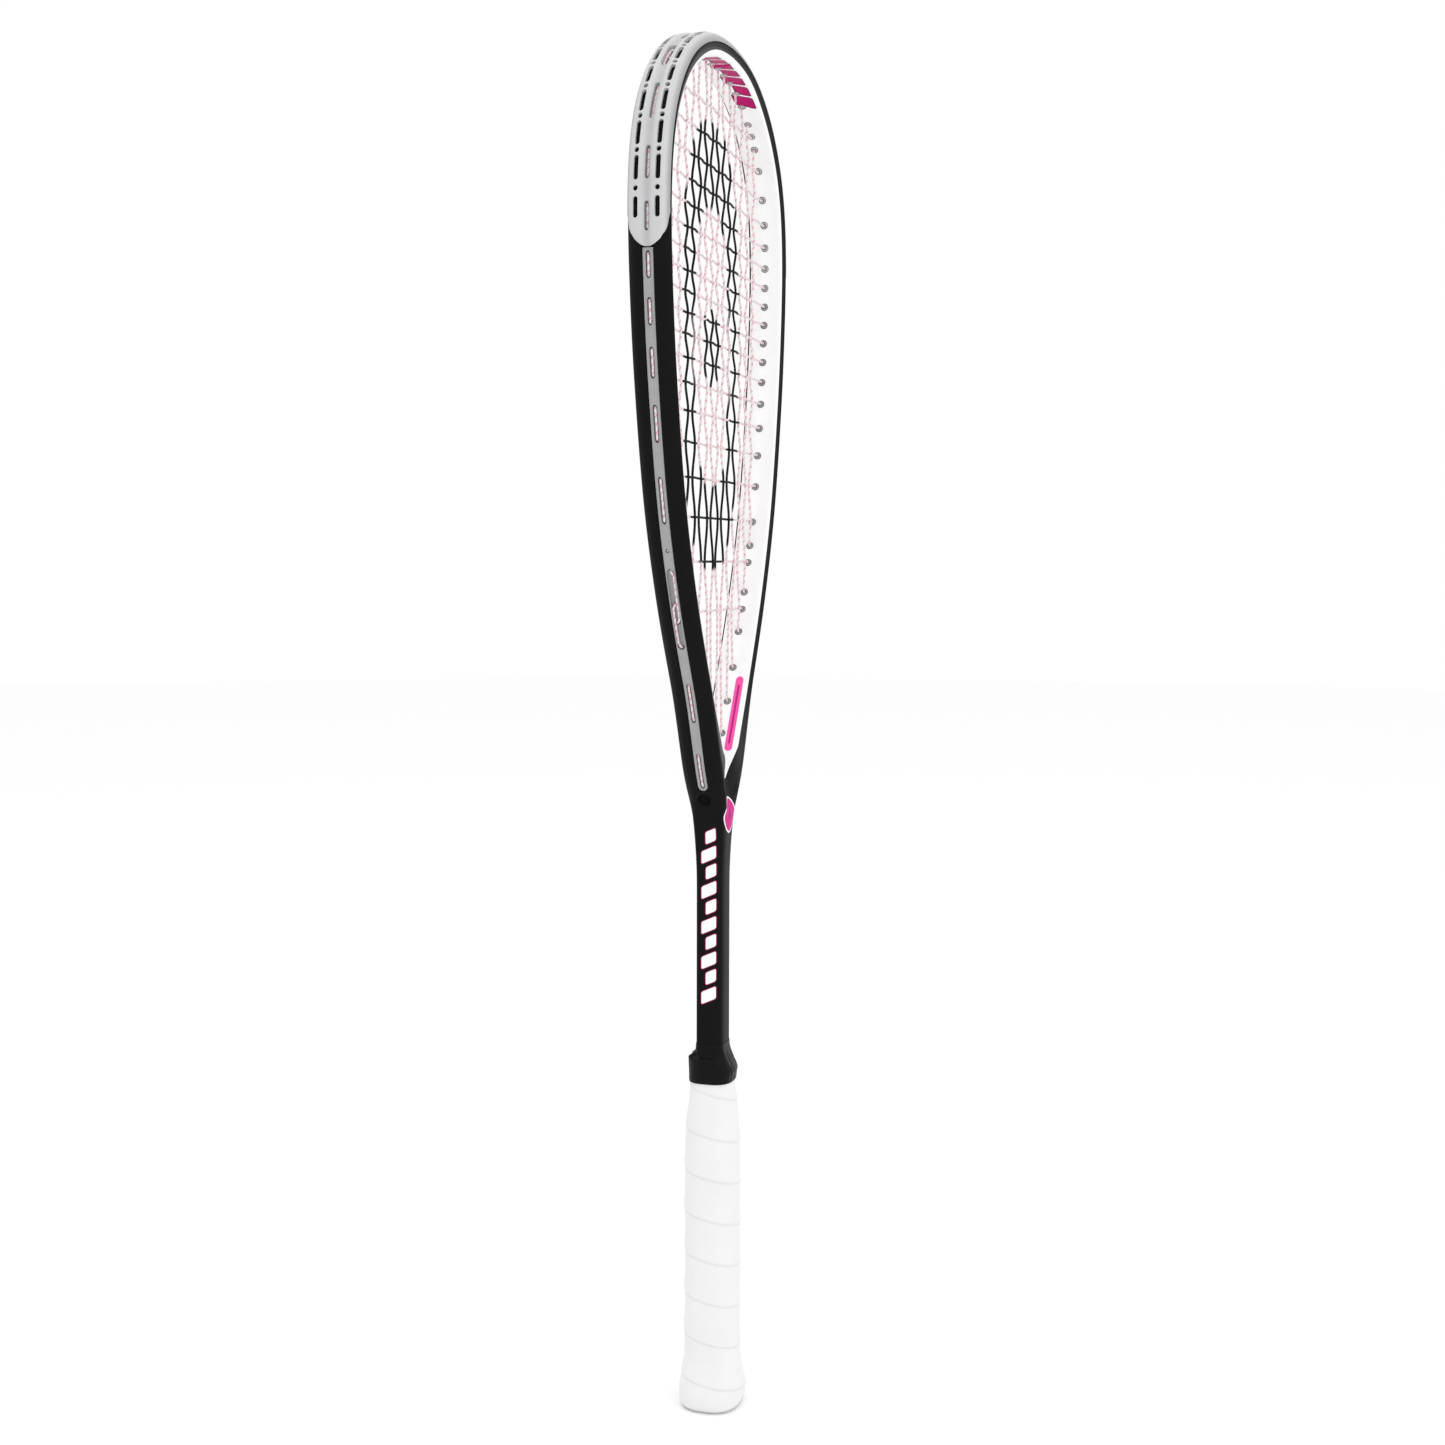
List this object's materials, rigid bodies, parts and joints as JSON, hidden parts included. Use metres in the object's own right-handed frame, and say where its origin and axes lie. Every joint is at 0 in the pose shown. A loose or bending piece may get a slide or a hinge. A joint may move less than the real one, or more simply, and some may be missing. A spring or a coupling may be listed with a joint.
{
  "type": "squash racket",
  "caption": "Teardrop-head squash racket with a head bumper, side grommet strips, a woven string bed, a slim shaft and a wrapped grip with a flared butt.",
  "frame": {"origin": "centre of the butt's flat bottom", "axes": "+Z along the handle towards the head, +X across the head, Y through the thickness, with -Y the face seen in the picture"},
  "size_m": [0.2126, 0.033, 0.686],
  "materials": {
    "frame": "satin black painted graphite, white on the inside of the hoop",
    "bumper": "pale translucent nylon",
    "strip": "silver-grey nylon",
    "string": "white multifilament with pink flecks",
    "foam": "rigid polyurethane foam",
    "cap": "white moulded plastic",
    "steel": "staple wire",
    "grip": "white tacky polyurethane wrap",
    "tape": "black vinyl finishing tape",
    "rubber": "dark foam rubber"
  },
  "bodies": {
    "root": {"frame": "frame", "bumper_guard": "bumper", "grommet_strip_left": "strip", "grommet_strip_right": "strip", "main_string": "string", "cross_string": "string", "handle_pallet_front": "foam", "handle_pallet_rear": "foam", "butt_cap": "cap", "butt_cap_staple_front": "steel", "butt_cap_staple_rear": "steel", "grip_tape": "grip", "finishing_tape": "tape", "shaft_end_plug": "rubber"}
  },
  "joints": []
}
